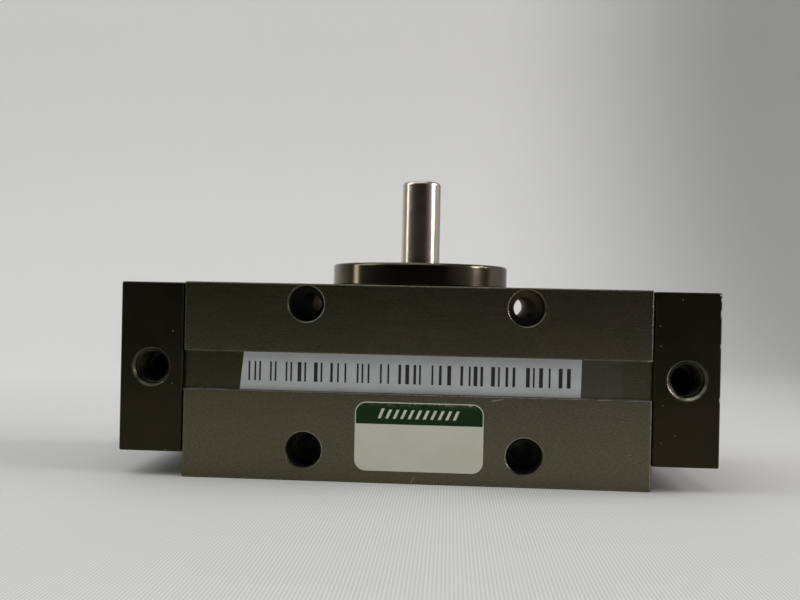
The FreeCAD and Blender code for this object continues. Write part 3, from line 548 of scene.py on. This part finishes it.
def make_room():
    """A dim room: dark low down in front of the object, paler behind, above and to its right."""
    world = bpy.data.worlds.new("room")
    scene.world = world
    s = Shader("room", world)
    direction = s.add("TexCoord").outputs["Generated"]
    x, depth, height = s.split(direction)
    level = s.math("ADD", depth, s.times(height, 1.2))
    shade = s.mix(s.remap(level, -0.75, 0.9), colour(0.015, 0.012, 0.009), colour(0.26, 0.26, 0.255))
    side = s.times(s.remap(x, 0.55, 0.95), s.remap(height, 0.75, 0.35))
    side = s.times(side, s.remap(height, 0.0, 0.10, 0.35, 0.85))
    shade = s.mix(side, shade, colour(0.37, 0.36, 0.345))
    background = s.tree.nodes["Background"]
    s.put(background.inputs["Color"], shade)


def make_lights():
    for name, place, target, size, power, tint in LIGHTS:
        data = bpy.data.lights.new(name, "AREA")
        data.shape = "RECTANGLE"
        data.size, data.size_y = size
        data.energy = power
        data.color = tint
        light = bpy.data.objects.new(name, data)
        light.location = place
        light.rotation_euler = (Vector(target) - Vector(place)).to_track_quat("-Z", "Y").to_euler()
        scene.collection.objects.link(light)


# ---------------------------------------------------------------- print on the tape and the sticker

STRIP_BODY = "housing_body"
PRINT_LIFT = 0.02
PRINT_THICKNESS = 0.03

LABEL_SEED = 7
LABEL_MARGIN = 2.6
LABEL_HALF_HEIGHT = 2.95
LABEL_LAST_GAP = 1.0
STROKES_PER_GROUP = (2, 3, 3, 4)
STROKE_WIDTHS = (0.55, 0.55, 0.8, 1.15)
STROKE_GAPS = (0.9, 1.3, 1.7)
GROUP_GAP = 1.5

BAND_BORDER = 0.28
BAND_HEIGHT = 6.6
BAND_CORNER = 3.1
SLANT_COUNT = 11
SLANT_PITCH = 2.25
SLANT_LEAN = 0.75
SLANT_HALF_WIDTH = 0.45
SLANT_HALF_HEIGHT = 1.35
SLANT_FIRST_HEIGHT = 1.25


def make_label_print():
    """Plain upright strokes on the tape, in groups."""
    low, high = (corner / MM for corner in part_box("label_strip"))
    random.seed(LABEL_SEED)
    middle = (low.z + high.z) / 2
    bottom = middle - LABEL_HALF_HEIGHT
    top = middle + LABEL_HALF_HEIGHT
    right = high.x - LABEL_MARGIN
    outlines = []
    x = low.x + LABEL_MARGIN
    while x < right - LABEL_LAST_GAP:
        for _ in range(random.choice(STROKES_PER_GROUP)):
            width = random.choice(STROKE_WIDTHS)
            if x + width > right:
                break
            outlines.append([(x, bottom), (x + width, bottom), (x + width, top), (x, top)])
            x += width + random.choice(STROKE_GAPS)
        x += GROUP_GAP
    front = low.y - PRINT_LIFT
    plates("label_print", outlines, front, PRINT_THICKNESS, label_ink(), STRIP_BODY)


def rounded_top(left, right, low, high, radius, steps=10):
    """A rectangle whose two upper corners are round, anticlockwise."""
    outline = [(left, low), (right, low)]
    for centre, start in ((right - radius, 0), (left + radius, 90)):
        for step in range(steps + 1):
            angle = math.radians(start + 90 * step / steps)
            outline.append((centre + radius * math.cos(angle), high - radius + radius * math.sin(angle)))
    return outline


def make_sticker_print():
    """The green band and a row of slanted strokes in it."""
    low, high = (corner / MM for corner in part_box("rating_sticker"))
    bottom = high.z - BAND_HEIGHT
    top = high.z - BAND_BORDER
    front = low.y - PRINT_LIFT
    band = rounded_top(low.x + BAND_BORDER, high.x - BAND_BORDER, bottom, top, BAND_CORNER)
    plates("sticker_band", [band], front, PRINT_THICKNESS, band_green(top), STRIP_BODY)
    strokes = []
    centre = (low.x + high.x) / 2
    middle = (bottom + top) / 2 - 0.1
    for index in range(SLANT_COUNT):
        x = centre + (index - (SLANT_COUNT - 1) / 2) * SLANT_PITCH
        foot = x - SLANT_LEAN
        head = x + SLANT_LEAN * 0.6
        foot_height = middle - SLANT_HALF_HEIGHT
        head_height = middle + SLANT_HALF_HEIGHT * (SLANT_FIRST_HEIGHT if index == 0 else 1.0)
        strokes.append([
            (foot - SLANT_HALF_WIDTH, foot_height),
            (foot + SLANT_HALF_WIDTH, foot_height),
            (head + SLANT_HALF_WIDTH, head_height),
            (head - SLANT_HALF_WIDTH, head_height),
        ])
    ink = moulded("mark_ink", (0.62, 0.65, 0.57), 0.4, 0.5)
    plates("sticker_marks", strokes, front - PRINT_LIFT, PRINT_THICKNESS, ink, STRIP_BODY)


# ---------------------------------------------------------------- threads

THREAD_PITCH = 0.941
THREAD_TURNS = 8
THREAD_STEPS = 40
THREAD_ROOT = PORT_RADIUS + 0.05
THREAD_CREST = PORT_RADIUS - 0.55
THREAD_HALF = THREAD_PITCH * 0.44
THREAD_FLAT = 0.06


def make_port_thread(side, material):
    """The ridge of a pipe thread inside a port, wound inwards from the mouth."""
    mount = mounts[side + "_port"]
    centre_x = mount["pos_m"][0] / MM
    centre_z = mount["pos_m"][2] / MM
    points = []
    faces = []
    total = THREAD_TURNS * THREAD_STEPS
    first = PORT_CHAMFER + THREAD_HALF - HALF_DEPTH
    for step in range(total + 1):
        angle = 2 * math.pi * step / THREAD_STEPS
        middle = first + THREAD_PITCH * step / THREAD_STEPS
        lead = min(1.0, step / (THREAD_STEPS / 3))
        top = THREAD_ROOT + (THREAD_CREST - THREAD_ROOT) * lead
        for radius, shift in ((THREAD_ROOT, -THREAD_HALF), (top, -THREAD_FLAT), (top, THREAD_FLAT),
                              (THREAD_ROOT, THREAD_HALF)):
            x = centre_x + radius * math.cos(angle)
            points.append((x, middle + shift, centre_z + radius * math.sin(angle)))
    for step in range(total):
        here = 4 * step
        for corner in range(4):
            after = (corner + 1) % 4
            faces.append((here + corner, here + 4 + corner, here + 4 + after, here + after))
    faces.append((0, 1, 2, 3))
    faces.append((4 * total + 3, 4 * total + 2, 4 * total + 1, 4 * total))
    return add_piece(side + "_port_thread", points, faces, material, STRIP_BODY)


# ---------------------------------------------------------------- marks of use

MARK_STEPS = 7
MARK_SPREAD = (0.4, 1.3)
GROOVE_GLINT = ((-70.35, 27.2), (-70.35, 38.2))
GROOVE_GLINT_RISE = 0.25
CHIP_SETBACK = 0.04

# Name, then the two ends and the width in the front view.
BLOCK_MARKS = (
    ("block_scratch", (-0.6, 0.5), (0.8, 2.5), 0.35),
    ("block_scratch_low", (-0.3, 0.7), (0.3, 1.6), 0.50),
    ("groove_scuff", (22.4, 25.4), (26.9, 26.3), 0.45),
    ("groove_burr", (68.6, 38.75), (70.4, 38.70), 0.50),
    ("groove_burr_left", (-70.2, 26.78), (-64.5, 26.75), 0.22),
    ("groove_burr_low", (2.0, 26.75), (9.0, 26.72), 0.20),
)
COVER_CHIPS = (
    ("cover_chip_corner", (89.2, 58.9), (89.8, 58.2), 0.45),
    ("cover_chip_top", (89.8, 57.9), (89.75, 56.6), 0.35),
    ("cover_chip_upper", (89.8, 54.4), (89.75, 51.6), 0.30),
    ("cover_chip_middle", (89.8, 44.3), (89.8, 42.9), 0.30),
    ("cover_chip_low", (89.8, 28.6), (89.8, 26.8), 0.30),
)
DUST = (
    (-73.9, 44.3), (-73.9, 28.4), (72.5, 43.2), (73.4, 25.6), (77.2, 16.8), (72.3, 49.1), (78.7, 57.0),
)
DUST_HALF_LENGTH = 0.18
DUST_RISE = 0.06
DUST_WIDTH = 0.30


def mark(name, start, end, level, width, material, slot, depth=0.06, seed=1):
    """A thin ragged sliver between two points (x, z), half sunk in the face whose y is level."""
    random.seed(seed)
    start, end = (Vector((x, level, z)) for x, z in (start, end))
    across = (end - start).cross(Vector((0, 1, 0))).normalized()
    upper = []
    lower = []
    for step in range(MARK_STEPS + 1):
        middle = start.lerp(end, step / MARK_STEPS)
        taper = math.sin(math.pi * (step + 0.35) / (MARK_STEPS + 0.7))
        upper.append(middle + across * width / 2 * taper * random.uniform(*MARK_SPREAD))
        lower.append(middle - across * width / 2 * taper * random.uniform(*MARK_SPREAD))
    outline = upper + lower[::-1]
    total = len(outline)
    points = [point + Vector((0, shift, 0)) for shift in (-depth / 2, depth / 2) for point in outline]
    faces = [tuple(range(total)), tuple(range(2 * total - 1, total - 1, -1))]
    for index in range(total):
        after = (index + 1) % total
        faces.append((index, total + index, total + after, after))
    return add_piece(name, points, faces, material, STRIP_BODY)


def make_marks():
    """Scratches and burrs on the block, a painted glint at the groove's left end, chips on the right
    cover's outer edge, and dust.
    """
    scratch_and_glint = moulded("scratch_and_glint_paint", (0.26, 0.25, 0.21), 0.40, 0.55)
    rubbed = moulded("rubbed_edge", (0.62, 0.60, 0.54), 0.40, 0.55)
    dust = moulded("dust_speck", (0.34, 0.34, 0.30), 0.60, 0.80)
    front = -HALF_DEPTH
    for seed, (name, start, end, width) in enumerate(BLOCK_MARKS):
        mark(name, start, end, front, width, scratch_and_glint, "anodised_block", seed=seed)
    # Painted highlight: a glint on the chamfer at the groove's left end.
    glint_level = front + GROOVE_DEPTH + GROOVE_GLINT_RISE
    mark("groove_end_glint", *GROOVE_GLINT, glint_level, 0.40, scratch_and_glint, "anodised_block", seed=9)
    for seed, (name, start, end, width) in enumerate(COVER_CHIPS):
        mark(name, start, end, front + CHIP_SETBACK, width, rubbed, "anodised_cover", depth=0.10, seed=seed)
    for seed, (x, z) in enumerate(DUST):
        start = (x - DUST_HALF_LENGTH, z)
        end = (x + DUST_HALF_LENGTH, z + DUST_RISE)
        mark(f"dust_{seed}", start, end, front, DUST_WIDTH, dust, "anodised_cover", seed=seed)


# ---------------------------------------------------------------- carried-over nodes

def paint_nodes():
    """Give every node of the frame the material of its slot."""
    finishes = {
        "anodised_block": anodised_block(),
        "anodised_cover": anodised_cover(),
        "gloss_flange": gloss_flange(),
        "ground_steel": ground_steel(),
        "rack_steel": machined("rack_steel", (0.45, 0.44, 0.42), 0.28, 0.42, (6.0, 1.0, 1.0)),
        "bearing_steel": machined("bearing_steel", (0.62, 0.61, 0.60), 0.10, 0.18, (0.5, 0.5, 8.0), 0.002),
        "cage_brass": machined("cage_brass", (0.62, 0.45, 0.18), 0.25, 0.38, (0.6, 0.6, 6.0)),
        "spring_steel": machined("spring_steel", (0.40, 0.40, 0.41), 0.22, 0.34, (1.0, 1.0, 5.0)),
        "black_screw_steel": black_screw_steel(),
        "piston_aluminium": machined("piston_aluminium", (0.70, 0.70, 0.69), 0.24, 0.36, (7.0, 0.5, 0.5)),
        "seal_rubber": moulded("seal_rubber", (0.014, 0.014, 0.015), 0.45, 0.62),
        "bumper_elastomer": moulded("bumper_elastomer", (0.42, 0.20, 0.05), 0.32, 0.45),
        "wear_plastic": moulded("wear_plastic", (0.66, 0.62, 0.52), 0.40, 0.52),
        "label_tape": label_tape(),
        "sticker_vinyl": sticker_vinyl(),
    }
    for entry in frame["record"]["subparts"]:
        mesh = nodes[entry["node"]].data
        mesh.materials.clear()
        mesh.materials.append(finishes[entry["material_slot"]])
    return finishes


make_camera()
make_stage()
make_room()
make_lights()
finishes = paint_nodes()
make_label_print()
make_sticker_print()
for side in ("left", "right"):
    make_port_thread(side, finishes["anodised_cover"])
make_marks()
